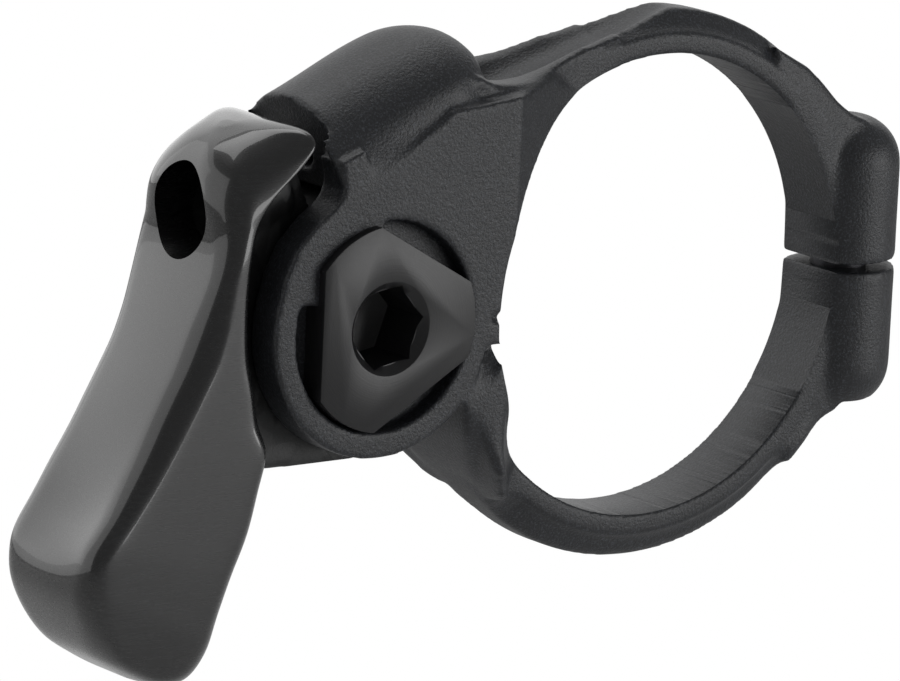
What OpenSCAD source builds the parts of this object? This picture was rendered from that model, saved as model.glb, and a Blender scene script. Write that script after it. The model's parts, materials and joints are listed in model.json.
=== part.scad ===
// Under-bar remote lever for a dropper seatpost.
// Millimetres, +Z up. The origin is the centre of the bar bore, at the middle of the band.
// Y runs along the handlebar, +X points to the clamp's split, -X to the thumb lever.

/* [Bar clamp] */
// Diameter of the handlebar that the clamp takes
bar_d = 31.8; // [31:0.1:35]
// Width of the plain band, along the bar
band_w = 5.4; // [4.6:0.1:6.4]
// Thickness of the band over the bar
band_wall = 2.9; // [2.4:0.1:3.6]
// Gap between the two lugs
slit_w = 0.6; // [0.4:0.1:1.5]
// Distance of the slit below the bore's centre
slit_drop = 0.3; // [0:0.1:1]
// Diameter of the round lugs
lug_d = 7.9; // [7.8:0.1:10]
// Height of the upper lug over the slit
upper_lug_h = 9.6; // [9:0.1:12]
// Height of the lower lug under the slit
lower_lug_h = 10.4; // [9:0.1:12]
// Metal between the bore and the hole for the clamp screw
lug_wall = 0.45; // [0.4:0.05:2.5]
// Depth of the lightening scallops in the band's outer corners
scallop_d = 0.7; // [0.4:0.1:1]

/* [Clamp screw] */
// Thread diameter
screw_d = 4; // [3:0.5:4]
// Head diameter
screw_head_d = 7; // [6:0.1:7.2]
// Head height
screw_head_h = 3.5; // [3:0.1:3.6]
// Width across the flats of the socket in the head
screw_hex = 3; // [2.5:0.5:3]
// Clear space round the screw and its head
screw_gap = 0.1; // [0.05:0.05:0.2]
// Thickness of the washer under the head
washer_t = 0.5; // [0.3:0.1:0.8]
// Length of the screw under its head
screw_l = 14; // [12:1:14]

/* [Pivot] */
// Distance from the bar bore to the pivot's axis
pivot_reach = 9.6; // [9.3:0.1:11]
// Height of the pivot's axis over the bore's centre
pivot_z = 0.3; // [-1:0.1:1]
// Radius of the round end of each pivot plate
boss_r = 8.85; // [8.6:0.05:9.3]
// Width of the body over the two plates
body_w = 12.5; // [12:0.1:14]
// Width of the slot between the plates
slot_w = 6.8; // [6.6:0.1:7.2]
// Diameter of the recess that takes the pivot bolt's cap
recess_d = 14.2; // [13.6:0.1:15]
// Depth of that recess
recess_depth = 1.4; // [1:0.1:1.8]
// Clear space between the cap and the recess
cap_gap = 0.15; // [0.1:0.05:0.4]
// Thickness of the pivot bolt's cap
cap_t = 2; // [1.6:0.1:2.4]
// Distance of the cap's three flats from its centre
cap_flat = 5.45; // [5.2:0.05:6]
// Width across the flats of the hex socket in the cap
hex_af = 5; // [4:0.5:5]
// Depth of that socket
hex_depth = 4.2; // [3:0.1:5]
// Thread diameter at the far end of the pivot bolt
pivot_thread_d = 6; // [5:0.5:7]
// Clear space round the pivot bolt in the front plate
bolt_gap = 0.05; // [0.02:0.01:0.1]

/* [Bearings] */
// Bore of each cartridge bearing
bearing_bore = 8; // [7:0.5:8]
// Outer diameter of each bearing
bearing_od = 12; // [11.5:0.1:12.4]
// Width of each bearing
bearing_w = 2.5; // [2.3:0.1:2.6]
// Diameter of the balls
ball_d = 1.2; // [1:0.1:1.3]
// Number of balls in a bearing
ball_count = 12; // [9:1:13]
// Clear space between the balls and the inner ring
ball_gap = 0.02; // [0.01:0.01:0.05]
// Thickness of the seals
seal_t = 0.2; // [0.15:0.05:0.25]

/* [Lever] */
// Width of the thumb face, along the bar
lever_w = 11; // [9:0.1:11.5]
// Width of the hub between the plates
hub_w = 6.2; // [5.8:0.1:6.4]
// Radius of the hub
hub_r = 8.4; // [7.9:0.1:8.6]
// Diameter of the cable hole in the thumb face
cable_hole_d = 5.8; // [5:0.1:6]
// Depth of the wide part of the cable hole
cable_hole_depth = 5; // [4:0.1:6]
// Diameter of the cable's own passage
cable_pass_d = 2; // [1.8:0.1:2.6]
// Slope of the cable, in degrees
cable_slope = 19.4; // [15:0.1:24]

/* [Cable boss] */
// Height of the cable over the middle of the boss
cable_rise = 2.3; // [1.5:0.1:2.8]
// Diameter of the seat for the outer cable's end cap
housing_d = 5; // [4.6:0.1:5.5]
// Depth of that seat
housing_depth = 6; // [4:0.5:7]

/* [Return spring] */
// Wire diameter
spring_wire = 0.6; // [0.4:0.05:0.65]
// Mean radius of the coil
spring_r = 7.15; // [7:0.05:7.3]
// Number of turns
spring_turns = 1.6; // [1.2:0.1:1.8]

/* [Hidden] */
$fn = 96;

// The band and the body, seen along the bar
bar_r = bar_d / 2;
band_r = bar_r + band_wall;
band_corner = min(1.3, band_wall / 2 - 0.05, band_w / 2 - 0.5);
bore_skin = 0.5;
pivot_x = -(bar_r + pivot_reach);
body_half = body_w / 2;
slot_half = slot_w / 2;
hub_half = hub_w / 2;
through = 2 * body_w;
reach = 4 * bar_r;

// Lugs and clamp screw
lug_x = bar_r + lug_wall + screw_d / 2 + screw_gap;
lug_r = lug_d / 2;
lug_round = 2.6;
upper_scallop = [50, 108];
lower_scallop = [232, 310];
scallop_out = 1.1;
end_ease = 0.1;
slit_top = slit_w / 2 - slit_drop;
slit_bottom = -slit_w / 2 - slit_drop;
lug_top = slit_top + upper_lug_h;
lug_bottom = slit_bottom - lower_lug_h;
head_recess = 0.4;
head_seat_z = lug_bottom + head_recess + screw_head_h + washer_t;
drill_over = 0.5;
screw_tip_z = head_seat_z - washer_t + screw_l;

// Pivot bolt and bearings, along the pivot's axis
recess_floor = recess_depth - body_half;
journal_r = bearing_bore / 2;
hex_r = hex_af / 2 / cos(30);
bearing_mid = hub_half - bearing_w / 2;
spacer_half = hub_half - bearing_w;
pitch_r = (bearing_bore + bearing_od) / 4;
race_step = ball_d * 0.28;
race_groove = 0.02;
seal_inset = 0.05;
seal_lip = 0.06;
cage_half = 0.22;
cage_reach = 0.85;
pocket_gap = 0.05;
hub_land = 0.7;
thread_inset = 0.2;
hex_turn = 10;
mouth_flare = 0.28;
mouth_depth = 0.6;

// Return spring, in a groove in the hub's rear face
spring_leg = 1;
spring_side = 0.2;
groove_half = spring_wire / 2 + spring_side;
spring_groove = 1.6;
spring_end_gap = 0.15;
spring_floor = hub_half - spring_groove;
spring_z0 = spring_floor + spring_end_gap + spring_wire / 2;
spring_rise = slot_half - spring_end_gap - spring_wire / 2 - spring_z0;
spring_lever_turn = 100;
spring_body_turn = spring_lever_turn + spring_turns * 360;
spring_hole_gap = 0.1;
spring_hole_r = spring_wire / 2 + spring_hole_gap;
spring_hole_z = slot_half - drill_over;

// Lever and cable boss, in the frame that is turned by the cable's slope about the pivot
cable_v = 11.4;
boss_v = cable_v - cable_rise;
mouth_u = -0.3;
dome_u = 9.4;
housing_face = 4.2;
trough_gap = 0.5;
shoulder_r = 2.8;
shoulder_step = 0.35;
shoulder_rise = 2.4;
shoulder_sink = 0.7;
taper_bend = 1.3;
block_sink = 0.3;
block_full = 0.9;
block_end = 8.9;
root_sink = 0.1;
root_full = 0.7;
root_end = 4.4;
nest_r = 5.3;
nest_depth = 1.1;
lever_round = 1.4;
head_r = 5.6;
head_drop = 1.7;
nest_drop = 0.9;
hub_gap = 0.4;
slot_open = 0.7 * (hub_r + hub_gap);
root_flank_r = 10.4;
groove_floor = 4.2;
notch_drop = 1.8;
head_face_u = -8.6;
cable_hole_end = head_face_u + cable_hole_depth;
pass_gap = 0.3;

// Runs its child along the bar, from y0 to y1, with the drawing's y turned up to Z
module along_bar(y0, y1) {
    translate([0, y1, 0]) rotate([90, 0, 0]) linear_extrude(y1 - y0) children();
}

// Stands its child's Z along the pivot's axis, positive away from the cap
module on_pivot() {
    translate([pivot_x, 0, pivot_z]) rotate([-90, 0, 0]) children();
}

// The frame in which u runs along the cable and v stands square to it, both from the pivot
module cable_frame() {
    translate([pivot_x, 0, pivot_z]) rotate([0, -cable_slope, 0]) children();
}

// Cylinder along the cable from u0 to u1, at height v
module cable_rod(r, u0, u1, v) {
    translate([u0, 0, v]) rotate([0, 90, 0]) cylinder(r = r, h = u1 - u0);
}

module ring(r_in, r_out, z0, z1) {
    translate([0, 0, z0]) difference() {
        cylinder(r = r_out, h = z1 - z0);
        translate([0, 0, -1]) cylinder(r = r_in, h = z1 - z0 + 2);
    }
}

function polar(r, a) = [r * cos(a), r * sin(a)];
function from_pivot(u, v) = [
    pivot_x + u * cos(cable_slope) - v * sin(cable_slope),
    pivot_z + u * sin(cable_slope) + v * cos(cable_slope)
];

// Smooth closed curve through the points p, with n steps between two of them
function closed_curve(p, n) = let (m = len(p)) [
    for (i = [0 : m - 1], k = [0 : n - 1])
        let (t = k / n, a = p[(i + m - 1) % m], b = p[i], c = p[(i + 1) % m], d = p[(i + 2) % m])
            b + t * (c - a) / 2 + t * t * (2 * a - 5 * b + 4 * c - d) / 2
                + t * t * t * (3 * b - a - 3 * c + d) / 2
];

// Plan of the body: as wide as the plates up to x_full, then down to the band's width at x_band
module plan(x_full, x_band) {
    steps = 8;
    half = [for (i = [0 : steps]) let (t = i / steps)
        [x_full + (x_band - x_full) * t, band_w / 2 + (body_half - band_w / 2) * pow(1 - t, taper_bend)]];
    upper = concat([[-reach, body_half]], half, [[0, band_w / 2]]);
    lower = [for (i = [len(upper) - 1 : -1 : 0]) [upper[i][0], -upper[i][1]]];
    translate([0, 0, -reach]) linear_extrude(2 * reach) polygon(concat(upper, lower));
}

module band() {
    rotate([90, 0, 0]) rotate_extrude($fn = 180) {
        translate([bar_r - bore_skin, -band_w / 2])
            square([band_wall + bore_skin - band_corner, band_w]);
        translate([bar_r - bore_skin, band_corner - band_w / 2])
            square([band_wall + bore_skin, band_w - 2 * band_corner]);
        for (side = [-1, 1])
            translate([band_r - band_corner, side * (band_w / 2 - band_corner)])
                circle(band_corner, $fn = 48);
    }
}

// Upright round boss for the clamp screw, with its two ends rounded
module lug() {
    translate([lug_x, 0, 0]) rotate_extrude() intersection() {
        union() {
            translate([0, lug_bottom]) square([lug_r - lug_round, lug_top - lug_bottom]);
            translate([0, lug_bottom + lug_round]) square([lug_r, lug_top - lug_bottom - 2 * lug_round]);
            for (z = [lug_bottom + lug_round, lug_top - lug_round])
                translate([lug_r - lug_round, z]) circle(lug_round, $fn = 48);
        }
        translate([0, -reach]) square([lug_r, 2 * reach]);
    }
}

// Side view of the block between the cable boss, the pivot and the band
module block_outline() {
    polygon([
        from_pivot(mouth_u, 0), from_pivot(mouth_u, boss_v), from_pivot(dome_u, boss_v + shoulder_rise),
        polar(band_r - block_sink, 124),
        for (a = [118, 135, 150, 165, 179]) polar(bar_r - bore_skin, a),
        [pivot_x, pivot_z]
    ]);
}

// Side view of the band's lower root, where it widens again under the pivot
module root_outline() {
    polygon(concat(
        [for (a = [181 : 4 : 225]) polar(bar_r - bore_skin, a)],
        [for (a = [225 : -4 : 181]) polar(band_r - root_sink, a)]
    ));
}

module pivot_side() {
    translate([pivot_x, pivot_z]) circle(boss_r, $fn = 144);
}

// Round-topped boss along the cable, with a domed end cut flat where the outer cable enters
module cable_boss() {
    boss_l = dome_u - mouth_u;
    cable_frame() translate([mouth_u, 0, boss_v]) rotate([0, 90, 0]) rotate_extrude() intersection() {
        union() {
            square([body_half, boss_l]);
            translate([0, boss_l]) circle(body_half);
        }
        square([body_half, boss_l + housing_face]);
    }
}

// Runs the dome down to the band
module boss_shoulder() {
    start = from_pivot(dome_u, boss_v);
    end = polar(bar_r + shoulder_sink, 130);
    along = end - start;
    translate([start[0], 0, start[1]]) rotate([0, 90 - atan2(along[1], along[0]), 0])
        cylinder(r1 = body_half - shoulder_step, r2 = shoulder_r, h = norm(along));
}

// What the hub and the head of the lever need between the plates
module lever_slot() {
    along_bar(-slot_half, slot_half) {
        translate([pivot_x, pivot_z]) circle(hub_r + hub_gap, $fn = 144);
        translate([pivot_x - reach, pivot_z - reach]) square([reach + slot_open, reach - slot_open]);
        translate([pivot_x - reach, pivot_z - reach]) square([reach, reach]);
        translate([pivot_x, pivot_z]) rotate(cable_slope)
            translate([mouth_u - reach, 0]) square([reach, reach]);
    }
}

module scallop(a0, a1) {
    out = scallop_out;
    cut_r = norm([out, out] + band_corner * (1 - sqrt(0.5)) * [1, 1]) + scallop_d;
    for (side = [-1, 1]) {
        rotate([90, 0, 0]) rotate([0, 0, a0]) rotate_extrude(angle = a1 - a0, $fn = 180)
            translate([band_r + out, side * (band_w / 2 + out)]) circle(cut_r, $fn = 48);
        for (a = [a0, a1])
            rotate([0, -a, 0]) translate([band_r + out, side * (band_w / 2 + out), 0])
                sphere(cut_r - end_ease, $fn = 48);
    }
}

module root_groove() {
    for (side = [0, 1]) mirror([0, side, 0])
        intersection() {
            on_pivot() translate([0, 0, -body_w]) cylinder(r = root_flank_r, h = body_w - groove_floor);
            translate([-reach, -through, -reach]) cube([reach, 2 * through, reach - notch_drop]);
        }
}

module clamp_screw_bores() {
    translate([lug_x, 0, 0]) {
        translate([0, 0, lug_bottom - 1])
            cylinder(d = screw_head_d + 2 * screw_gap, h = head_seat_z - lug_bottom + 1);
        translate([0, 0, lug_bottom]) cylinder(d = screw_d + 2 * screw_gap, h = -lug_bottom);
        cylinder(d = screw_d, h = screw_tip_z + drill_over);
    }
}

module pivot_bores() {
    on_pivot() {
        translate([0, 0, -body_w]) cylinder(d = recess_d, h = body_w + recess_floor);
        translate([0, 0, -body_w]) cylinder(r = journal_r + bolt_gap, h = body_w);
        cylinder(d = pivot_thread_d, h = body_w);
        translate([0, 0, spring_hole_z]) rotate([0, 0, spring_body_turn])
            translate([spring_r, 0, 0]) cylinder(r = spring_hole_r, h = spring_leg + spring_wire);
    }
}

module cable_bores() {
    cable_frame() {
        cable_rod(cable_pass_d / 2 + pass_gap, mouth_u - 1, dome_u, cable_v);
        cable_rod(nest_r, mouth_u - 1, mouth_u + nest_depth, cable_v - nest_drop);
        cable_rod(housing_d / 2, dome_u + housing_face - housing_depth, dome_u + housing_face + 1, cable_v);
        cable_rod(housing_d / 2 + trough_gap, dome_u + housing_face, reach, cable_v);
    }
}

module clamp_body() {
    color("dimgray") difference() {
        union() {
            band();
            lug();
            difference() {
                intersection() {
                    along_bar(-body_half, body_half) root_outline();
                    plan(root_full - bar_r, root_end - bar_r);
                }
                root_groove();
            }
            intersection() {
                union() {
                    along_bar(-body_half, body_half) block_outline();
                    cable_boss();
                    boss_shoulder();
                }
                plan(block_full - bar_r, block_end - bar_r);
            }
            along_bar(-body_half, body_half) pivot_side();
        }
        rotate([90, 0, 0]) cylinder(r = bar_r, h = through, center = true, $fn = 180);
        lever_slot();
        pivot_bores();
        cable_bores();
        clamp_screw_bores();
        translate([0, -through / 2, slit_bottom]) cube([reach, through, slit_w]);
        scallop(upper_scallop[0], upper_scallop[1]);
        scallop(lower_scallop[0], lower_scallop[1]);
    }
}

// Socket head screw, its head down in the lower lug
module clamp_bolt() {
    color("silver") translate([lug_x, 0, head_seat_z - washer_t]) difference() {
        union() {
            cylinder(d = screw_d, h = screw_l);
            translate([0, 0, -screw_head_h]) cylinder(d = screw_head_d, h = screw_head_h);
        }
        translate([0, 0, -screw_head_h - 1]) linear_extrude(screw_head_h / 2 + 1)
            circle(r = screw_hex / 2 / cos(30), $fn = 6);
    }
}

module clamp_bolt_washer() {
    color("lightgray") translate([lug_x, 0, 0])
        ring(screw_d / 2 + screw_gap, screw_head_d / 2, head_seat_z - washer_t, head_seat_z);
}

module pivot_bolt() {
    color("black") on_pivot() difference() {
        union() {
            translate([0, 0, recess_floor - cap_t]) linear_extrude(cap_t) intersection() {
                circle(d = recess_d - 2 * cap_gap, $fn = 144);
                circle(r = 2 * cap_flat, $fn = 3);
            }
            translate([0, 0, recess_floor]) cylinder(r = journal_r, h = slot_half - recess_floor);
            translate([0, 0, slot_half])
                cylinder(d = pivot_thread_d, h = body_half - slot_half - thread_inset);
        }
        translate([0, 0, recess_floor - cap_t - 1]) linear_extrude(hex_depth + 1)
            rotate(-hex_turn) circle(r = hex_r, $fn = 6);
        translate([0, 0, recess_floor - cap_t - 0.01])
            cylinder(r1 = hex_r + mouth_flare, r2 = hex_r - mouth_flare, h = mouth_depth);
    }
}

// One bearing's pieces, about its own middle, with the outward side at negative Z
module outer_race() {
    rotate_extrude($fn = 120) difference() {
        translate([pitch_r + race_step, -bearing_w / 2])
            square([bearing_od / 2 - pitch_r - race_step, bearing_w]);
        translate([pitch_r, 0]) circle(ball_d / 2 + race_groove, $fn = 48);
    }
}

module inner_race() {
    rotate_extrude($fn = 120) difference() {
        translate([journal_r, -bearing_w / 2]) square([pitch_r - race_step - journal_r, bearing_w]);
        translate([pitch_r, 0]) circle(ball_d / 2 + ball_gap, $fn = 48);
    }
}

module balls() {
    for (i = [0 : ball_count - 1])
        rotate([0, 0, i * 360 / ball_count]) translate([pitch_r, 0, 0]) sphere(d = ball_d, $fn = 32);
}

module cage() {
    difference() {
        ring(pitch_r - cage_half, pitch_r + cage_half, -cage_reach, cage_reach);
        for (i = [0 : ball_count - 1])
            rotate([0, 90, i * 360 / ball_count])
                cylinder(d = ball_d + 2 * pocket_gap, h = bearing_od, $fn = 32);
    }
}

module seal(side) {
    outer = side * (bearing_w / 2 - seal_inset);
    inner = outer - side * seal_t;
    ring(pitch_r - race_step + seal_lip, pitch_r + race_step, min(outer, inner), max(outer, inner));
}

// Stands a bearing piece in its seat: end is -1 at the cap's side and 1 at the rear
module in_seat(end) {
    on_pivot() translate([0, 0, end * bearing_mid]) children();
}

module front_outer_race() { color("silver") in_seat(-1) outer_race(); }
module front_inner_race() { color("silver") in_seat(-1) inner_race(); }
module front_balls() { color("gainsboro") in_seat(-1) balls(); }
module front_cage() { color("goldenrod") in_seat(-1) cage(); }
module front_outer_seal() { color("black") in_seat(-1) seal(-1); }
module front_inner_seal() { color("black") in_seat(-1) seal(1); }
module rear_outer_race() { color("silver") in_seat(1) outer_race(); }
module rear_inner_race() { color("silver") in_seat(1) inner_race(); }
module rear_balls() { color("gainsboro") in_seat(1) balls(); }
module rear_cage() { color("goldenrod") in_seat(1) cage(); }
module rear_outer_seal() { color("black") in_seat(1) seal(1); }
module rear_inner_seal() { color("black") in_seat(1) seal(-1); }

module bearing_spacer() {
    color("silver") on_pivot() ring(journal_r, pitch_r - race_step, -spacer_half, spacer_half);
}

module front_thrust_washer() {
    color("lightgray") on_pivot() ring(journal_r, pitch_r - race_step, -slot_half, -hub_half);
}

module rear_thrust_washer() {
    color("lightgray") on_pivot() ring(journal_r, pitch_r - race_step, hub_half, slot_half);
}

// Side view of the thumb plate, the paddle and the head, with u along the cable
module lever_outline() {
    polygon(closed_curve([
        [-8.8, 10.2], [-10.4, 7.1], [-12.7, 4], [-16.1, 1.3], [-19.9, -1.7], [-23.5, -4.5],
        [-25.8, -6.6], [-26.3, -9], [-25.3, -12.2], [-23.7, -15.2], [-21.4, -17.6], [-19, -16.4],
        [-16.5, -12.2], [-13.4, -8.5], [-10.7, -4.9], [-9.3, -1.4], [-8.7, 2.4], [-6.8, 6.6],
        [-4.4, 9.4], [-2, 11.4], [-0.8, 13.2], [-1.5, 15.1], [-4.2, 15.4], [-6.6, 15],
        [-8, 13.2]
    ], 3));
}

module thumb_plate() {
    minkowski() {
        translate([0, lever_w / 2 - lever_round, 0]) rotate([90, 0, 0])
            linear_extrude(lever_w - 2 * lever_round)
                offset(delta = -lever_round) lever_outline();
        sphere(lever_round, $fn = 16);
    }
}

module lever_web() {
    translate([0, hub_half, 0]) rotate([90, 0, 0]) linear_extrude(hub_w) {
        circle(hub_r, $fn = 144);
        polygon([
            [-1.6, 12.8], [-1.3, 8], [0, 0], [1.7, -8.2], [-0.6, -8.7], [-3, -9.1], [-9.7, -6.7], [-12.5, -5],
            [-11.5, 1], [-10, 6], [-6, 11]
        ]);
    }
}

// Keeps the head round about the cable
module head_limit() {
    cable_rod(head_r, -reach, reach, cable_v - head_drop);
    translate([-reach, -reach, -reach]) cube([2 * reach, 2 * reach, reach + cable_v - head_drop]);
}

module lever_bores() {
    on_pivot() {
        for (end = [-1, 1]) mirror([0, 0, end < 0 ? 1 : 0])
            translate([0, 0, spacer_half]) cylinder(d = bearing_od, h = body_w);
        translate([0, 0, -body_w]) cylinder(r = bearing_od / 2 - hub_land, h = through);
        ring(spring_r - groove_half, spring_r + groove_half, spring_floor, body_w);
        rotate([0, 0, spring_lever_turn]) translate([spring_r, 0, spring_floor - spring_leg])
            cylinder(r = spring_hole_r, h = spring_leg + 1);
    }
    cable_frame() {
        cable_rod(cable_hole_d / 2, -reach, cable_hole_end, cable_v);
        cable_rod(cable_pass_d / 2, -reach, reach, cable_v);
    }
}

module lever() {
    color("black") difference() {
        intersection() {
            cable_frame() union() {
                thumb_plate();
                lever_web();
            }
            cable_frame() head_limit();
        }
        lever_bores();
    }
}

// Round wire swept through a list of points, with its ends closed
module wire(path, r, sides) {
    n = len(path);
    rings = [for (i = [0 : n - 1]) let (
        a = path[max(0, i - 1)], b = path[min(n - 1, i + 1)],
        t = (b - a) / norm(b - a),
        side = cross([0, 0, 1], t) / norm(cross([0, 0, 1], t)),
        up = cross(t, side))
        for (k = [0 : sides - 1]) path[i] + r * (cos(k * 360 / sides) * side + sin(k * 360 / sides) * up)];
    walls = [for (i = [0 : n - 2], k = [0 : sides - 1])
        [i * sides + k, (i + 1) * sides + k, (i + 1) * sides + (k + 1) % sides, i * sides + (k + 1) % sides]];
    first = [for (k = [0 : sides - 1]) k];
    last = [for (k = [sides - 1 : -1 : 0]) (n - 1) * sides + k];
    polyhedron(points = rings, faces = concat(walls, [first, last]), convexity = 4);
}

module return_spring() {
    steps = ceil(spring_turns * 24);
    coil = [for (i = [0 : steps]) let (a = spring_lever_turn + i * spring_turns * 360 / steps)
        [spring_r * cos(a), spring_r * sin(a), spring_z0 + i / steps * spring_rise]];
    color("silver") on_pivot() {
        wire(coil, spring_wire / 2, 8);
        rotate([0, 0, spring_lever_turn])
            translate([spring_r, 0, spring_floor - spring_leg + spring_hole_gap])
                cylinder(d = spring_wire, h = spring_z0 - spring_floor + spring_leg - spring_hole_gap, $fn = 24);
        rotate([0, 0, spring_body_turn]) translate([spring_r, 0, spring_z0 + spring_rise])
            cylinder(d = spring_wire, h = spring_leg, $fn = 24);
    }
}

clamp_body();
clamp_bolt();
clamp_bolt_washer();
lever();
pivot_bolt();
front_outer_race();
front_inner_race();
front_balls();
front_cage();
front_outer_seal();
front_inner_seal();
rear_outer_race();
rear_inner_race();
rear_balls();
rear_cage();
rear_outer_seal();
rear_inner_seal();
bearing_spacer();
front_thrust_washer();
rear_thrust_washer();
return_spring();
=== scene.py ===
import json
import math

import bpy
from mathutils import Matrix, Vector


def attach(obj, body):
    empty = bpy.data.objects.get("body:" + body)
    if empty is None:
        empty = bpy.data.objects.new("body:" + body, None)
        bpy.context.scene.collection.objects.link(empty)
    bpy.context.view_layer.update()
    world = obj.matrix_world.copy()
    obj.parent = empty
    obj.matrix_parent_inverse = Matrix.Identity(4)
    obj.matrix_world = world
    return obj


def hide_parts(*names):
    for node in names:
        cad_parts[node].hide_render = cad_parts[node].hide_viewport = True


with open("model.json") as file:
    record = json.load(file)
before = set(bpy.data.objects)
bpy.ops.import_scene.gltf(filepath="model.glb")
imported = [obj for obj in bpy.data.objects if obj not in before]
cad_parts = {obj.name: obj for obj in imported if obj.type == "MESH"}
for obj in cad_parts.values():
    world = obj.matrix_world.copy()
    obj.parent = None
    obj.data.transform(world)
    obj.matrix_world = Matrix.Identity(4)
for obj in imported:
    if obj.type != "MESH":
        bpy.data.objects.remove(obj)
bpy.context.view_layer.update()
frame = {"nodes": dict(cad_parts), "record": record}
nodes = frame["nodes"]
mm = 0.001

pivot = {   # the lever's pivot and the slope of the cable, which the lever and its boss are drawn along
    "x": -25.5,
    "z": 0.3,
    "slope": math.radians(19.4),
    "cableV": 11.4,   # height of the cable over the pivot, square to it
}

cableHole = {   # along the cable from the pivot, in mm
    "start": -14,
    "end": -3.6,
    "radius": 2.9,
    "passRadius": 1.0,
    "passLength": 30,
}

# small helpers for the mesh work

def deselectAll():
    if bpy.context.object and bpy.context.object.mode != "OBJECT":
        bpy.ops.object.mode_set(mode="OBJECT")
    bpy.ops.object.select_all(action="DESELECT")


def makeActive(piece):
    deselectAll()
    piece.select_set(True)
    bpy.context.view_layer.objects.active = piece


def settle(piece):   # the object goes to the origin and its place stays in the mesh
    makeActive(piece)
    bpy.ops.object.transform_apply(location=True, rotation=True, scale=True)
    return piece


def applyModifier(piece, kind, **values):
    makeActive(piece)
    modifier = piece.modifiers.new(kind.lower(), kind)
    for key, value in values.items():
        setattr(modifier, key, value)
    bpy.ops.object.modifier_apply(modifier=modifier.name)
    return piece


def inEditMode(piece, *steps):   # runs mesh operators on all of a piece
    makeActive(piece)
    bpy.ops.object.mode_set(mode="EDIT")
    bpy.ops.mesh.select_all(action="SELECT")
    for step in steps:
        step()
    bpy.ops.object.mode_set(mode="OBJECT")
    return piece


def mergeDoubles():
    bpy.ops.mesh.remove_doubles(threshold=2e-6)


def closeEnds():
    bpy.ops.mesh.select_all(action="DESELECT")
    bpy.ops.mesh.select_non_manifold()
    bpy.ops.mesh.fill_holes(sides=0)
    bpy.ops.mesh.select_all(action="SELECT")


def turnOutwards():
    bpy.ops.mesh.normals_make_consistent(inside=False)


def mergedCopy(node, name):   # a CAD node's mesh is loose triangles, so the copy is merged first
    piece = bpy.data.objects.new(name, nodes[node].data.copy())
    bpy.context.scene.collection.objects.link(piece)
    piece.data.materials.clear()
    return inEditMode(piece, mergeDoubles)


def shadeSmooth(piece, angle):
    makeActive(piece)
    bpy.ops.object.shade_smooth_by_angle(angle=math.radians(angle))


def breakEdges(piece, width, steps):   # a small rounded edge, in mm
    applyModifier(
        piece, "BEVEL", width=width * mm, segments=steps, limit_method="ANGLE",
        angle_limit=math.radians(35))


def onLever(u, v, y):   # a point by its place along the cable, square to it and across, in mm
    c, s = math.cos(pivot["slope"]), math.sin(pivot["slope"])
    return Vector((pivot["x"] + u * c - v * s, y, pivot["z"] + u * s + v * c)) * mm


def alongCable(p):   # the other way round: a point's place along the cable and square to it
    c, s = math.cos(pivot["slope"]), math.sin(pivot["slope"])
    x, z = p.x - pivot["x"], p.z - pivot["z"]
    return x * c + z * s, z * c - x * s


# the three directions of the parts, and the pivot's place in metres
holeAxis = onLever(1, 0, 0) - onLever(0, 0, 0)
acrossBar = Vector((0, 1, 0))
upwards = Vector((0, 0, 1))
pivotPlace = Vector((pivot["x"], 0, pivot["z"])) * mm


def combine(piece, other, operation):   # the other piece is used up
    applyModifier(piece, "BOOLEAN", operation=operation, object=other, solver="EXACT")
    bpy.data.objects.remove(other)


def cutAway(piece, cutter):
    combine(piece, cutter, "DIFFERENCE")


def joinOn(piece, other):
    combine(piece, other, "UNION")


def addRod(place, direction, radius, length, sides=96):   # from a point along a direction, in metres
    deselectAll()
    middle = Vector(place) + Vector(direction).normalized() * length / 2
    bpy.ops.mesh.primitive_cylinder_add(vertices=sides, radius=radius, depth=length, location=middle)
    rod = bpy.context.object
    rod.rotation_mode = "QUATERNION"
    rod.rotation_quaternion = Vector(direction).to_track_quat("Z", "Y")
    return settle(rod)


def applyWhere(piece, weight, kind, **values):   # a modifier that moves each point by its own share, 0 to 1
    group = piece.vertex_groups.new(name="share")
    for vertex in piece.data.vertices:
        share = weight(vertex.co / mm)
        if share > 0:
            group.add([vertex.index], share, "REPLACE")
    applyModifier(piece, kind, vertex_group="share", **values)
    piece.vertex_groups.clear()


def cutHole(piece):   # the wide part of the cable's hole in the thumb face
    cutAway(piece, addRod(
        onLever(cableHole["start"], pivot["cableV"], 0), holeAxis, cableHole["radius"] * mm,
        (cableHole["end"] - cableHole["start"]) * mm))


def cutPassage(piece):   # the cable's own way through
    cutAway(piece, addRod(
        onLever(cableHole["start"], pivot["cableV"], 0), holeAxis, cableHole["passRadius"] * mm,
        cableHole["passLength"] * mm, 48))


def extrudeAcross(name, points, y0, y1):   # a side view in metres, carried across from y0 to y1
    deselectAll()
    bpy.ops.mesh.primitive_circle_add(vertices=len(points), fill_type="NGON")
    piece = bpy.context.object
    piece.name = name
    for vertex, point in zip(piece.data.vertices, points):
        vertex.co = (point[0], y0, point[1])
    inEditMode(piece, lambda: bpy.ops.mesh.extrude_region_move(
        TRANSFORM_OT_translate={"value": (0, y1 - y0, 0)}))
    return inEditMode(piece, turnOutwards)


def sideView(places):   # points along and square to the cable become x and z
    return [(onLever(u, v, 0).x, onLever(u, v, 0).z) for u, v in places]


def between(table, place):   # smooth curve through the rows of a table
    last = len(table) - 1
    i = min(last - 1, int(place))
    t = place - i
    a, b, c, d = (table[max(0, min(last, k))] for k in (i - 1, i, i + 1, i + 2))
    return [(2 * q + (r - p) * t + (2 * p - 5 * q + 4 * r - s) * t * t
             + (3 * q - p - 3 * r + s) * t * t * t) / 2 for p, q, r, s in zip(a, b, c, d)]


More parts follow.
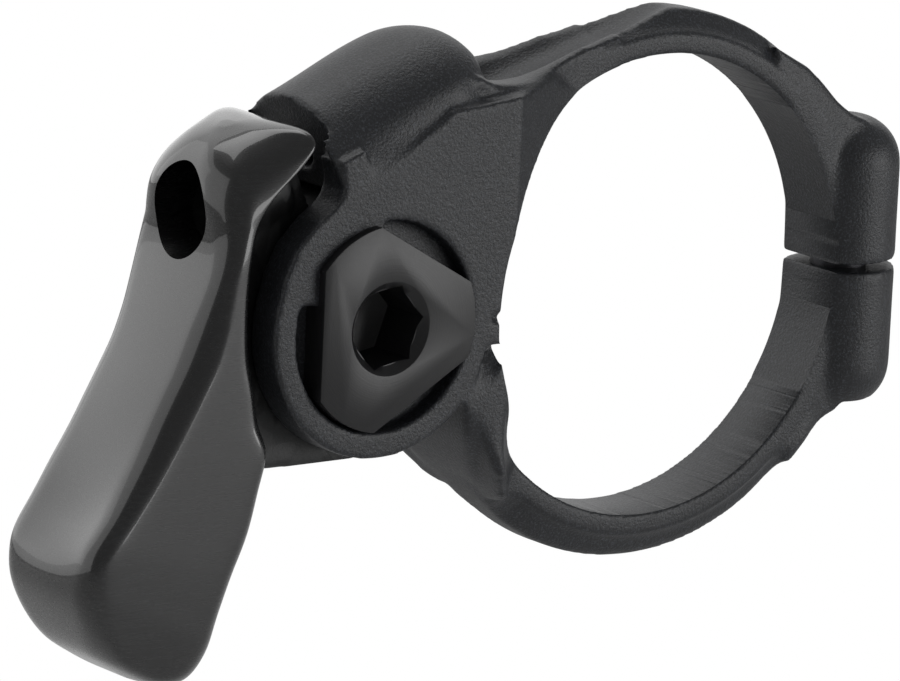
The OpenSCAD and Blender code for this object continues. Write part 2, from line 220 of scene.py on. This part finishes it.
def wrapped(name, rows, ring, pointAt):   # a closed skin: rows run down it and ring runs once round it
    deselectAll()
    bpy.ops.mesh.primitive_grid_add(x_subdivisions=rows, y_subdivisions=ring, size=2)
    piece = bpy.context.object
    piece.name = name
    for vertex in piece.data.vertices:
        vertex.co = pointAt((vertex.co.x + 1) / 2, (vertex.co.y + 1) / 2)
    return inEditMode(piece, mergeDoubles, closeEnds, turnOutwards)


def ramp(value, low, high):
    t = min(1, max(0, (value - low) / (high - low)))
    return t * t * (3 - 2 * t)


# shader maths

class Wire:   # a node's output that takes part in sums
    def __init__(self, paint, socket):
        self.paint, self.socket = paint, socket

    def maths(self, operation, first, second):
        return self.paint.add("ShaderNodeMath", {"operation": operation}, {0: first, 1: second})

    def __add__(self, other):
        return self.maths("ADD", self, other)

    def __sub__(self, other):
        return self.maths("SUBTRACT", self, other)

    def __rsub__(self, other):
        return self.maths("SUBTRACT", other, self)

    def __mul__(self, other):
        return self.maths("MULTIPLY", self, other)

    __radd__ = __add__
    __rmul__ = __mul__


class Paint:   # a material and its nodes
    def __init__(self, name):
        self.material = bpy.data.materials.new(name)
        self.material.use_nodes = True
        self.tree = self.material.node_tree
        self.tree.nodes.clear()

    def add(self, kind, settings, inputs, output=0):
        made = self.tree.nodes.new(kind)
        for key, value in settings.items():
            if key == "stops":
                while len(made.color_ramp.elements) < len(value):
                    made.color_ramp.elements.new(0.5)
                for element, (place, shade) in zip(made.color_ramp.elements, value):
                    element.position, element.color = place, (shade, shade, shade, 1)
            else:
                setattr(made, key, value)
        for key, value in inputs.items():
            if isinstance(value, Wire):
                self.tree.links.new(value.socket, made.inputs[key])
            else:
                made.inputs[key].default_value = value
        return Wire(self, made.outputs[output])

    def place(self, scale=(1, 1, 1), turn=(0, 0, 0)):   # object coordinates, in metres
        spot = self.add("ShaderNodeTexCoord", {}, {}, "Object")
        return self.add("ShaderNodeMapping", {}, {"Vector": spot, "Scale": scale, "Rotation": turn})

    def noise(self, spot, scale, detail=2.0, roughness=0.5):
        return self.add("ShaderNodeTexNoise", {}, {
            "Vector": spot, "Scale": scale, "Detail": detail, "Roughness": roughness})

    def stops(self, value, *pairs):
        return self.add("ShaderNodeValToRGB", {"stops": pairs}, {"Fac": value})

    def blend(self, share, first, second):   # colours
        return self.add("ShaderNodeMix", {"data_type": "RGBA"}, {
            "Factor": share, 6: (*first, 1), 7: (*second, 1)}, 2)

    def bump(self, height, distance, strength):
        return self.add("ShaderNodeBump", {}, {
            "Height": height, "Distance": distance, "Strength": strength})

    def finish(self, shader):
        output = self.tree.nodes.new("ShaderNodeOutputMaterial")
        self.tree.links.new(shader.socket, output.inputs["Surface"])
        return self.material


# camera at the photograph's angle

camera = {
    "right": (0.7975, -0.6017, 0.0442),
    "up": (0.0963, 0.1993, 0.9752),
    "back": (-0.5956, -0.7735, 0.2169),
    "place": (-0.3093, -0.3818, 0.1042),
    "lens": 294.9,
}

cameraData = bpy.data.cameras.new("photoCamera")
cameraObject = bpy.data.objects.new("photoCamera", cameraData)
bpy.context.scene.collection.objects.link(cameraObject)
cameraTurn = Matrix((camera["right"], camera["up"], camera["back"])).transposed().to_4x4()
cameraObject.matrix_world = Matrix.Translation(camera["place"]) @ cameraTurn
cameraData.sensor_width = 36
cameraData.lens = camera["lens"]
cameraData.clip_start = 0.01
cameraData.clip_end = 20
bpy.context.scene.camera = cameraObject

# floor, backdrop and lamps

studio = {
    "floorZ": -0.1,
    "floorSize": 6.0,
    "paleGrey": 0.8,
    "white": 1.0,
    "backdropRadius": 1.2,
    "backdropHeight": 1.5,
    "roomGrey": 0.2,
    # place, width, height and power of each lamp, all aimed at the origin
    "lamps": {
        "topSoftbox": ((0.05, 0.25, 0.75), 0.7, 0.5, 2.2),
        "faceSoftbox": ((-0.42, 0.62, 0.3), 0.6, 0.6, 0.55),
        "plateSoftbox": ((0.42, -0.5, 0.02), 0.5, 0.35, 1.7),
    },
}


def showsWhite(name, glossyToo):   # white to the camera, and a pale grey that the lamps shade
    paint = Paint(name)
    grey = studio["paleGrey"]
    path = paint.add("ShaderNodeLightPath", {}, {}, "Is Camera Ray")
    if glossyToo:
        path = path + Wire(paint, path.socket.node.outputs["Is Glossy Ray"])
    matt = paint.add("ShaderNodeBsdfDiffuse", {}, {"Color": (grey, grey, grey, 1)})
    glow = paint.add("ShaderNodeEmission", {}, {"Color": (1, 1, 1, 1), "Strength": studio["white"]})
    return paint.finish(paint.add("ShaderNodeMixShader", {}, {0: path, 1: matt, 2: glow}))


deselectAll()
bpy.ops.mesh.primitive_plane_add(size=studio["floorSize"], location=(0, 0, studio["floorZ"]))
floor = bpy.context.object
floor.name = "studioFloor"
floor.data.materials.append(showsWhite("floorWhite", False))

deselectAll()
bpy.ops.mesh.primitive_cylinder_add(
    vertices=96, radius=studio["backdropRadius"], depth=studio["backdropHeight"],
    end_fill_type="NOTHING", location=(0, 0, studio["floorZ"] + studio["backdropHeight"] / 2))
backdrop = bpy.context.object
backdrop.name = "studioBackdrop"
bpy.ops.object.mode_set(mode="EDIT")
bpy.ops.mesh.select_all(action="SELECT")
bpy.ops.mesh.bisect(plane_co=(0, 0.1, 0), plane_no=(0.35, -1, 0), clear_outer=True)
bpy.ops.object.mode_set(mode="OBJECT")
backdrop.data.materials.append(showsWhite("backdropWhite", True))

for name, (place, width, height, power) in studio["lamps"].items():
    light = bpy.data.lights.new(name, "AREA")
    light.shape = "RECTANGLE"
    light.size, light.size_y, light.energy = width, height, power
    lamp = bpy.data.objects.new(name, light)
    bpy.context.scene.collection.objects.link(lamp)
    lamp.location = place
    lamp.rotation_mode = "QUATERNION"
    lamp.rotation_quaternion = (-Vector(place)).to_track_quat("-Z", "Y")

world = bpy.data.worlds.new("studioRoom")
bpy.context.scene.world = world
world.use_nodes = True
roomTree = world.node_tree
roomTree.nodes.clear()
roomPath = roomTree.nodes.new("ShaderNodeLightPath")
roomDim = roomTree.nodes.new("ShaderNodeBackground")
roomWhite = roomTree.nodes.new("ShaderNodeBackground")
roomMix = roomTree.nodes.new("ShaderNodeMixShader")
roomOut = roomTree.nodes.new("ShaderNodeOutputWorld")
roomDim.inputs["Color"].default_value = (1, 1, 1, 1)
roomDim.inputs["Strength"].default_value = studio["roomGrey"]
roomWhite.inputs["Color"].default_value = (1, 1, 1, 1)
roomWhite.inputs["Strength"].default_value = studio["white"]
roomTree.links.new(roomPath.outputs["Is Camera Ray"], roomMix.inputs[0])
roomTree.links.new(roomDim.outputs[0], roomMix.inputs[1])
roomTree.links.new(roomWhite.outputs[0], roomMix.inputs[2])
roomTree.links.new(roomMix.outputs[0], roomOut.inputs["Surface"])
bpy.context.scene.view_settings.view_transform = "Standard"
print("studio ready")

# finishes

finishLook = {
    "alloy": (0.012, 0.0125, 0.014),
    # colour of the painted glints: light flecks in the base colour that stand for the blasted grain's
    # sparkle
    "alloyPaintedGlint": (0.055, 0.06, 0.07),
    "alloyRoughness": 0.36,
    "cap": (0.011, 0.011, 0.012),
    "capRoughness": 0.3,
    "resin": (0.006, 0.006, 0.0065),
    "fibre": (0.016, 0.017, 0.0175),
    "fibreTurn": math.radians(50),
    "chips": (0.05, 0.052, 0.052),
    "coatRoughness": 0.035,
    # colour, roughness, metal and grain of the plain finishes
    "plain": {
        "dark_screw": ("darkScrew", (0.06, 0.06, 0.065), 0.3, 1.0, 3000),
        "bearing_steel": ("bearingSteel", (0.62, 0.62, 0.64), 0.22, 1.0, 4000),
        "spring_steel": ("springSteel", (0.5, 0.5, 0.52), 0.28, 1.0, 3000),
        "cage_brass": ("cageBrass", (0.7, 0.55, 0.3), 0.3, 1.0, 2500),
        "seal_rubber": ("sealRubber", (0.03, 0.03, 0.03), 0.6, 0.0, 3500),
    },
}


def blastedAlloy():
    paint = Paint("blastedAlloy")
    spot = paint.place()
    grain = paint.noise(spot, 5200, 2.0, 0.6)
    cloud = paint.noise(spot, 120, 3.0)
    # painted glints: light flecks in the base colour stand for the grain's sparkle, and the cloud adds a
    # random tone of the alloy's own
    paintedGlints = paint.stops(paint.noise(spot, 7000, 1.0), (0.52, 0.0), (0.72, 1.0))
    shade = paint.blend(
        paintedGlints * 0.8 + cloud * 0.3, finishLook["alloy"], finishLook["alloyPaintedGlint"])
    shader = paint.add("ShaderNodeBsdfPrincipled", {}, {
        "Base Color": shade, "Roughness": finishLook["alloyRoughness"] + grain * 0.16,
        "Normal": paint.bump(grain, 0.00006, 0.8)})
    return paint.finish(shader)


def turnedBlack():
    paint = Paint("turnedBlack")
    spot = paint.add("ShaderNodeTexCoord", {}, {}, "Object")
    centred = paint.add("ShaderNodeMapping", {}, {
        "Vector": spot, "Location": (-pivot["x"] * mm, 0, -pivot["z"] * mm)})
    flat = paint.add("ShaderNodeVectorMath", {"operation": "MULTIPLY"}, {0: centred, 1: (1, 0, 1)})
    radius = paint.add("ShaderNodeVectorMath", {"operation": "LENGTH"}, {0: flat}, 1)
    rings = paint.add("ShaderNodeTexNoise", {"noise_dimensions": "1D"}, {
        "W": radius, "Scale": 9000.0, "Detail": 2.0})
    grain = paint.noise(paint.place(), 9000, 1.0)
    shader = paint.add("ShaderNodeBsdfPrincipled", {}, {
        "Base Color": (*finishLook["cap"], 1), "Roughness": finishLook["capRoughness"] + grain * 0.1,
        "Normal": paint.bump(rings * 0.7 + grain * 0.5, 0.00001, 0.5)})
    return paint.finish(shader)


def mouldedCarbon():
    paint = Paint("mouldedCarbon")
    along = paint.place((1, 0.5, 1), (0, finishLook["fibreTurn"], 0))
    swirl = paint.noise(along, 90, 3.0, 0.6)
    stretched = paint.place((0.05, 0.5, 1), (0, finishLook["fibreTurn"], 0))
    fibres = paint.noise(stretched, 5200, 3.0, 0.65)
    streaks = paint.stops(fibres, (0.42, 0.0), (0.62, 1.0))
    cloudy = paint.stops(swirl, (0.45, 0.2), (0.7, 1.0))
    shade = paint.blend(streaks * cloudy, finishLook["resin"], finishLook["fibre"])
    shader = paint.add("ShaderNodeBsdfPrincipled", {}, {
        "Base Color": shade, "Roughness": 0.34 - fibres * 0.12,
        "Coat Weight": 1.0, "Coat Roughness": finishLook["coatRoughness"]})
    return paint.finish(shader)


def choppedCarbon():
    paint = Paint("choppedCarbon")
    spot = paint.place()
    chips = paint.add("ShaderNodeTexVoronoi", {"feature": "F1"}, {
        "Vector": paint.place((1, 1, 0.35), (0.4, 0.5, 0.2)), "Scale": 900.0,
        "Randomness": 1.0}, "Color")
    tone = paint.add("ShaderNodeRGBToBW", {}, {"Color": chips})
    grain = paint.noise(spot, 4500, 3.0, 0.7)
    shade = paint.blend(tone * grain, finishLook["resin"], finishLook["chips"])
    shader = paint.add("ShaderNodeBsdfPrincipled", {}, {
        "Base Color": shade, "Roughness": 0.3 + tone * 0.25,
        "Normal": paint.bump(tone + grain, 0.00004, 0.35)})
    return paint.finish(shader)


def plainPaint(name, colour, roughness, metallic, grainScale):
    paint = Paint(name)
    grain = paint.noise(paint.place(), grainScale, 2.0)
    shader = paint.add("ShaderNodeBsdfPrincipled", {}, {
        "Base Color": (*colour, 1), "Roughness": grain * 0.15 + roughness, "Metallic": metallic,
        "Normal": paint.bump(grain, 0.00001, 0.2)})
    return paint.finish(shader)


finishes = {
    "blasted_alloy": blastedAlloy(),
    "turned_black": turnedBlack(),
    "moulded_carbon": mouldedCarbon(),
    "chopped": choppedCarbon(),
    **{slot: plainPaint(*look) for slot, look in finishLook["plain"].items()},
}
for entry in frame["record"]["subparts"]:
    cadNode = nodes[entry["node"]]
    cadNode.data.materials.clear()
    cadNode.data.materials.append(finishes[entry["material_slot"]])
print("finishes ready")


# clamp body: the CAD solid with fuller roots and lugs, then softened as a forging is

bodyLook = {
    "voxel": 0.2,
    "edgeRounds": 9,
    "rootRounds": 30,
    "boreRadius": 15.96,
    "domeSwell": 0.55,
    "bandSwell": 0.3,
    "mostFaces": 90000,
    "bossV": 9.1,
    "domeU": 9.4,
    "boreDepth": 20,
    "lugX": 18.45,
    "lugRadius": 3.9,
    "lugRound": 3.3,
    "lugTop": 10.0,
    "lugBottom": -10.8,
    "slitZ": -0.6,
    "screwHoleRadius": 2.9,
    "screwHoleZ": -12.5,
    "screwHoleDepth": 5.2,
    # the box that takes the plain lugs off: its middle's x, and its size
    "cutterX": 24.4,
    "cutterSize": (18, 20, 30),
    # the outer cable's way past the boss
    "troughU": 13.2,
    "troughRadius": 2.85,
    "troughLength": 30,
    "fillerRows": 24,
    "fillerRing": 16,
    "flankHalf": 2.5,
    "cheekSides": (3.5, 6.2),
    "innerRadius": 15.2,
    # middle and reach of the two roots that are softened most
    "saddleMiddle": (-13.5, 0, 14.5),
    "saddleReach": 6.5,
    "rootMiddle": (-15.5, -9),
    "rootReach": 6,
    # x, top, bottom, half width of the saddle between the dome and the band
    "saddle": [
        [-20.5, 15.6, 11, 4.4], [-18.5, 16.0, 9, 4.9], [-16.5, 15.6, 7, 5.2],
        [-14.5, 15.4, 6, 5.0], [-12.5, 15.5, 8, 4.3], [-10.5, 15.9, 10.5, 3.5],
        [-8.5, 16.4, 12.5, 2.9], [-6, 17.0, 14, 2.6], [-4, 17.5, 14.8, 2.5],
    ],
    # angle round the bar, outer radius, half width of the root under the pivot
    "root": [
        [187, 17.5, 4.9], [190, 18.5, 5.5], [194, 19.2, 6.1], [199, 19.5, 6.2], [204, 19.6, 5.8],
        [209, 19.4, 4.9], [214, 19.1, 3.7], [219, 18.8, 2.8], [225, 18.5, 2.4],
    ],
    # the same of the thin wall between the bore and the hub
    "wall": [
        [160, 16.8, 6.0], [168, 16.8, 6.0], [176, 16.8, 6.0], [182, 16.8, 5.6], [189, 16.8, 4.9],
    ],
    # side view (x, z) of the flanks that join the lugs to the band
    "upperFlank": [
        (9.8, 15.6), (12.9, 14.0), (14.4, 12.7), (15.9, 11.3), (17.2, 10.4), (18.6, 9.9),
        (18.6, 2), (14, 2),
    ],
    "lowerFlank": [
        (12.6, -13.9), (14.1, -12.3), (15.4, -11.3), (16.6, -10.7), (18.2, -10.5), (18.6, -3),
        (14, -3),
    ],
    # along and square to the cable: where each plate runs up to the boss's mouth
    "cheek": [
        (-7.1, 4.6), (-6.5, 6.3), (-4.9, 7.9), (-2.8, 8.9), (-1.0, 9.4), (-0.3, 10.1), (0, 11.2),
        (0, 12.0), (2, 12), (2, 5), (-3, 3),
    ],
}


def boxSection(turn, low, high, half):   # a point of a flat-sided section, once round for turn 0 to 1
    corners = [(low, -half), (high, -half), (high, half), (low, half)]
    k, t = int(turn * 4) % 4, (turn * 4) % 1
    (a, b), (c, d) = corners[k], corners[(k + 1) % 4]
    return a + (c - a) * t, b + (d - b) * t


def saddlePoint(row, turn):   # row runs down the table, turn runs once round the section
    x, top, bottom, half = between(bodyLook["saddle"], row * (len(bodyLook["saddle"]) - 1))
    z, y = boxSection(turn, bottom, top, half)
    return Vector((x, y, z)) * mm


def roundBore(table, row, turn):   # the same for a table that runs round the bar
    angle, outer, half = between(bodyLook[table], row * (len(bodyLook[table]) - 1))
    radius, y = boxSection(turn, bodyLook["innerRadius"], outer, half)
    angle = math.radians(angle)
    return Vector((radius * math.cos(angle), y, radius * math.sin(angle))) * mm


def roundEnd(lug, z):   # rounds the rim at one end of an upright rod
    makeActive(lug)
    bpy.ops.object.mode_set(mode="EDIT")
    bpy.ops.mesh.select_all(action="DESELECT")
    bpy.ops.object.mode_set(mode="OBJECT")
    for edge in lug.data.edges:
        edge.select = all(abs(lug.data.vertices[k].co.z / mm - z) < 0.1 for k in edge.vertices)
    bpy.ops.object.mode_set(mode="EDIT")
    bpy.ops.mesh.select_mode(type="EDGE")
    bpy.ops.mesh.bevel(offset=bodyLook["lugRound"] * mm, segments=12)
    bpy.ops.object.mode_set(mode="OBJECT")
    return lug


def rootShare(p):   # how far a point belongs to a soft root
    fromPivot = math.hypot(p.x - pivot["x"], p.z - pivot["z"])
    fromBore = math.hypot(p.x, p.z)
    fromSaddle = (p - Vector(bodyLook["saddleMiddle"])).length
    fromRoot = math.hypot(p.x - bodyLook["rootMiddle"][0], p.z - bodyLook["rootMiddle"][1])
    saddle = ramp(bodyLook["saddleReach"] - fromSaddle, 0, 2.5)
    root = ramp(bodyLook["rootReach"] - fromRoot, 0, 2.5)
    lugs = ramp(p.x, 9.5, 12.5) * ramp(abs(p.z + 0.3), 0.8, 2.2)
    return min(1, saddle + root + lugs) * ramp(fromPivot, 9.2, 10.4) * ramp(fromBore, 16.0, 16.6)


def domeShare(p):   # the outer skin of the boss and its domed end
    u, v = alongCable(p)
    fromAxis = math.hypot(v - bodyLook["bossV"], p.y)
    fromMiddle = math.hypot(fromAxis, max(0, u - bodyLook["domeU"]))
    along = ramp(u, 0.5, 9) * (1 - ramp(u, 13, 15.5))
    return along * ramp(fromMiddle, 5.5, 5.9) * ramp(v, 11, 13)


def bandShare(p):   # the outer face of the band, which the smoothing drew in
    angle = math.degrees(math.atan2(p.z, p.x)) % 360
    top = ramp(angle, 32, 45) * (1 - ramp(angle, 112, 125))
    below = ramp(angle, 205, 220) * (1 - ramp(angle, 318, 326))
    return (0.2 * top + below) * ramp(math.hypot(p.x, p.z), 17.4, 18.4)


clampBody = mergedCopy("clamp_body", "clampBody")
deselectAll()
bpy.ops.mesh.primitive_cube_add(size=1, location=(bodyLook["cutterX"] * mm, 0, 0))
lugCutter = bpy.context.object
lugCutter.scale = Vector(bodyLook["cutterSize"]) * mm
cutAway(clampBody, settle(lugCutter))

saddle = wrapped("saddle", bodyLook["fillerRows"], bodyLook["fillerRing"], saddlePoint)
cutAway(saddle, addRod(
    onLever(bodyLook["troughU"], pivot["cableV"], 0), holeAxis, bodyLook["troughRadius"] * mm,
    bodyLook["troughLength"] * mm))
fillers = [saddle]
for table in ("root", "wall"):
    fillers.append(wrapped(
        table, bodyLook["fillerRows"], bodyLook["fillerRing"],
        lambda row, turn: roundBore(table, row, turn)))
for side in (-1, 1):
    inner, outer = (side * y * mm for y in bodyLook["cheekSides"])
    fillers.append(extrudeAcross("cheek", sideView(bodyLook["cheek"]), inner, outer))
for flank in ("upperFlank", "lowerFlank"):
    outline = [(x * mm, z * mm) for x, z in bodyLook[flank]]
    half = bodyLook["flankHalf"] * mm
    fillers.append(extrudeAcross("flank", outline, -half, half))
for low, high, roundedZ in (
        (0, bodyLook["lugTop"], bodyLook["lugTop"]),
        (bodyLook["lugBottom"], bodyLook["slitZ"], bodyLook["lugBottom"])):
    lug = addRod(
        Vector((bodyLook["lugX"], 0, low)) * mm, upwards, bodyLook["lugRadius"] * mm, (high - low) * mm)
    fillers.append(roundEnd(lug, roundedZ))
for filler in fillers:
    deselectAll()
    filler.select_set(True)
    clampBody.select_set(True)
    bpy.context.view_layer.objects.active = clampBody
    bpy.ops.object.join()
applyModifier(clampBody, "REMESH", mode="VOXEL", voxel_size=bodyLook["voxel"] * mm)
applyWhere(clampBody, rootShare, "SMOOTH", factor=0.5, iterations=bodyLook["rootRounds"])
applyModifier(clampBody, "SMOOTH", factor=0.5, iterations=bodyLook["edgeRounds"])
for swell, weight in (("domeSwell", domeShare), ("bandSwell", bandShare)):
    applyWhere(clampBody, weight, "DISPLACE", strength=bodyLook[swell] * mm, mid_level=0)
faceCount = len(clampBody.data.polygons)
if faceCount > bodyLook["mostFaces"]:
    applyModifier(clampBody, "DECIMATE", ratio=bodyLook["mostFaces"] / faceCount)
boreDepth = bodyLook["boreDepth"] * mm
cutAway(clampBody, addRod(
    -acrossBar * boreDepth / 2, acrossBar, bodyLook["boreRadius"] * mm, boreDepth, 256))
cutAway(clampBody, addRod(
    Vector((bodyLook["lugX"], 0, bodyLook["screwHoleZ"])) * mm, upwards,
    bodyLook["screwHoleRadius"] * mm, bodyLook["screwHoleDepth"] * mm))
shadeSmooth(clampBody, 50)
clampBody.data.materials.append(finishes["blasted_alloy"])
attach(clampBody, "clamp")
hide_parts("clamp_body")
print("clamp body ready, faces:", faceCount, "then", len(clampBody.data.polygons))

# lever: a skin wrapped round sections that run from the head down to the tip

leverLook = {
    "rows": 120,
    "ring": 80,
    "half": 5.5,
    "widest": 5.55,
    "smoothRounds": 3,
    # middle of the thumb side (u, v) and of the back (u, v), half width, radius of the front and
    # the back edges, crown of the thumb side, lean of the section, and how much its back flares
    "sections": [
        [-4.5, 15.44, -3.7, 15.44, 0.4, 1, 1, 0, 0, 0.5],
        [-6.1, 15.1, -2.1, 15.1, 2.2, 1.6, 1.2, 0, 0, 0.5],
        [-7.4, 14.35, -0.9, 14.4, 3.4, 2, 0.7, 0.1, 0, 0.38],
        [-8.1, 13.5, -0.75, 13.55, 4.25, 2, 0.7, 0.2, 0, 0.28],
        [-8.65, 12.45, -1.9, 12.7, 4.9, 2, 0.8, 0.2, 0, 0.12],
        [-8.97, 11.3, -4.6, 11.6, 5.25, 1.9, 0.9, 0.2, 0, 0.04],
        [-9.35, 10, -6.3, 10.3, 5.4, 1.8, 1, 0.25, 0, 0],
        [-10.15, 8.5, -7.5, 8.6, 5.5, 1.8, 0.9, 0.3, 0, 0],
        [-11.25, 6.95, -8.4, 6.6, 5.5, 1.8, 0.9, 0.3, 0, 0],
        [-12.6, 5.25, -9.2, 4.4, 5.5, 1.9, 0.9, 0.3, 0, 0],
        [-14.05, 3.6, -9.8, 2, 5.5, 2, 1, 0.3, 0, 0],
        [-15.7, 2.1, -10, -0.3, 5.5, 2, 1.1, 0.3, 0, 0],
        [-17.35, 0.7, -10.3, -2.6, 5.5, 2, 1.2, 0.2, 0, 0],
        [-19.1, -0.75, -10.2, -4.7, 5.5, 2, 1.2, 0, 0, 0],
        [-21.15, -2.25, -11.5, -6.9, 5.5, 2, 1.3, -0.3, 0, 0],
        [-23.05, -3.65, -13.1, -9.5, 5.5, 1.9, 1.4, -0.6, 0.1, 0],
        [-24.8, -4.95, -15.05, -11.8, 5.5, 1.8, 1.5, -0.5, 0.2, 0],
        [-25.55, -6.3, -16.8, -14, 5.45, 1.6, 1.6, 0, 0.2, 0],
        [-26.15, -8.2, -18.2, -16, 5.35, 1.8, 1.8, 0.3, 0.2, 0],
        [-26.1, -10.6, -19.9, -17.2, 5, 2, 2, 0.3, 0.1, 0],
        [-25.6, -12.8, -21.6, -17, 4.2, 2.2, 2, 0.2, 0, 0],
        [-24.4, -14.5, -23.3, -15.8, 2.4, 1, 1, 0, 0, 0],
    ],
}


def roundedSection(turn, depth, half, frontRadius, backRadius):
    # how deep and how far across a point lies on a rounded box, once round for turn 0 to 1
    faceEnd, frontEnd, sideEnd, backEnd = 0.26, 0.46, 0.6, 0.78   # shares of half the way round
    side = 1 if turn < 0.5 else -1
    t = 2 * turn if turn < 0.5 else 2 - 2 * turn
    front = min(frontRadius, half * 0.98, depth * 0.55)
    back = min(backRadius, half * 0.98, depth * 0.4)
    if t < faceEnd:
        return 0, side * (half - front) * t / faceEnd
    if t < frontEnd:
        angle = (t - faceEnd) / (frontEnd - faceEnd) * math.pi / 2
        return front * (1 - math.cos(angle)), side * (half - front + front * math.sin(angle))
    if t < sideEnd:
        return front + (depth - front - back) * (t - frontEnd) / (sideEnd - frontEnd), side * half
    if t < backEnd:
        angle = (t - sideEnd) / (backEnd - sideEnd) * math.pi / 2
        return depth - back + back * math.sin(angle), side * (half - back + back * math.cos(angle))
    return depth, side * (half - back) * (1 - t) / (1 - backEnd)


def leverPoint(row, turn):   # row runs down the lever, turn runs once round it
    fu, fv, bu, bv, half, frontRadius, backRadius, crown, lean, flare = between(
        leverLook["sections"], row * (len(leverLook["sections"]) - 1))
    depth = math.hypot(fu - bu, fv - bv)
    inwards, across = roundedSection(turn, depth, half, frontRadius, backRadius)
    nearFront = max(0, 1 - inwards / depth)
    inwards -= crown * (1 - (across / half) ** 2) * nearFront ** 3
    share = inwards / depth
    across = max(-leverLook["widest"], min(leverLook["widest"], across * (1 + flare * share)))
    drop = lean * across / leverLook["half"]
    return onLever(fu + (bu - fu) * share + 0.3 * drop, fv + (bv - fv) * share - drop, across)


thumbLever = wrapped("thumbLever", leverLook["rows"], leverLook["ring"], leverPoint)
applyModifier(thumbLever, "SMOOTH", factor=0.5, iterations=leverLook["smoothRounds"])
applyModifier(thumbLever, "SUBSURF", levels=1, render_levels=1)
cutHole(thumbLever)
cutPassage(thumbLever)
shadeSmooth(thumbLever, 35)
thumbLever.data.materials.append(finishes["moulded_carbon"])
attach(thumbLever, "lever")
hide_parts("lever")
print("thumb lever ready")

# hub and web behind the thumb plate, which turn between the body's plates

hubLook = {
    "halfWidth": 3.1,
    "radius": 8.4,
    "bearing": 6.0,
    "bearingDepth": 2.5,
    "land": 5.3,
    "cutReach": 8,
    "voxel": 0.25,
    "smoothRounds": 6,
    # height over the pivot, radius and two ends of each rod that walls the cable's hole
    "barrels": [(10.9, 3.6, -7.0, -2.6), (9.9, 2.9, -8.2, -6.5)],
    "outline": [
        (-1.6, 12.6), (-1.3, 8), (0, 0), (2.1, -8.2), (0.6, -8.9), (-3, -9.1),
        (-9.7, -6.7), (-12.3, -5), (-11.3, 1), (-10, 5.5), (-6.5, 10.5),
    ],
}

hubHalf = hubLook["halfWidth"] * mm
leverHub = extrudeAcross("leverHub", sideView(hubLook["outline"]), -hubHalf, hubHalf)
joinOn(leverHub, addRod(
    pivotPlace - acrossBar * hubHalf, acrossBar, hubLook["radius"] * mm, 2 * hubHalf, 128))
for axisV, radius, start, end in hubLook["barrels"]:
    joinOn(leverHub, addRod(onLever(start, axisV, 0), holeAxis, radius * mm, (end - start) * mm))
applyModifier(leverHub, "REMESH", mode="VOXEL", voxel_size=hubLook["voxel"] * mm)
applyModifier(leverHub, "SMOOTH", factor=0.5, iterations=hubLook["smoothRounds"])
seatDepth = hubHalf - hubLook["bearingDepth"] * mm
reach = hubLook["cutReach"] * mm
for side in (-1, 1):
    cutAway(leverHub, addRod(
        pivotPlace + acrossBar * side * seatDepth, acrossBar * side, hubLook["bearing"] * mm, reach))
cutAway(leverHub, addRod(pivotPlace - acrossBar * reach, acrossBar, hubLook["land"] * mm, 2 * reach))
cutPassage(leverHub)
cutHole(leverHub)
shadeSmooth(leverHub, 35)
leverHub.data.materials.append(finishes["chopped"])
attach(leverHub, "lever")
print("lever hub ready")

# pivot bolt's cap: the CAD solid with its edges broken

capLook = {
    "edge": 0.12,
    "flatAngle": math.radians(2),
}

pivotCap = mergedCopy("pivot_bolt", "pivotCap")
applyModifier(pivotCap, "DECIMATE", decimate_type="DISSOLVE", angle_limit=capLook["flatAngle"])
breakEdges(pivotCap, capLook["edge"], 2)
shadeSmooth(pivotCap, 35)
pivotCap.data.materials.append(finishes["turned_black"])
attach(pivotCap, "clamp")
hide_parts("pivot_bolt")
print("pivot cap ready")

# clamp screw: head up in the lower lug, with its socket open downwards

screwLook = {
    "x": 18.45,
    "headZ": -10.0,
    "headRadius": 2.75,
    "headHeight": 3.0,
    "edge": 0.25,
    "radius": 1.98,
    "top": 7.3,
    "socketRadius": 1.7,
    "socketDepth": 1.8,
}

screwFoot = Vector((screwLook["x"], 0, screwLook["headZ"])) * mm
shankLength = screwLook["top"] - screwLook["headZ"] - 1
clampScrew = addRod(screwFoot, upwards, screwLook["headRadius"] * mm, screwLook["headHeight"] * mm)
clampScrew.name = "clampScrew"
breakEdges(clampScrew, screwLook["edge"], 3)
joinOn(clampScrew, addRod(
    screwFoot + upwards * mm, upwards, screwLook["radius"] * mm, shankLength * mm, 48))
cutAway(clampScrew, addRod(
    screwFoot - upwards * mm, upwards, screwLook["socketRadius"] * mm,
    (screwLook["socketDepth"] + 1) * mm, 6))
shadeSmooth(clampScrew, 35)
clampScrew.data.materials.append(finishes["dark_screw"])
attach(clampScrew, "clamp")
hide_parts("clamp_bolt")
print("clamp screw ready")
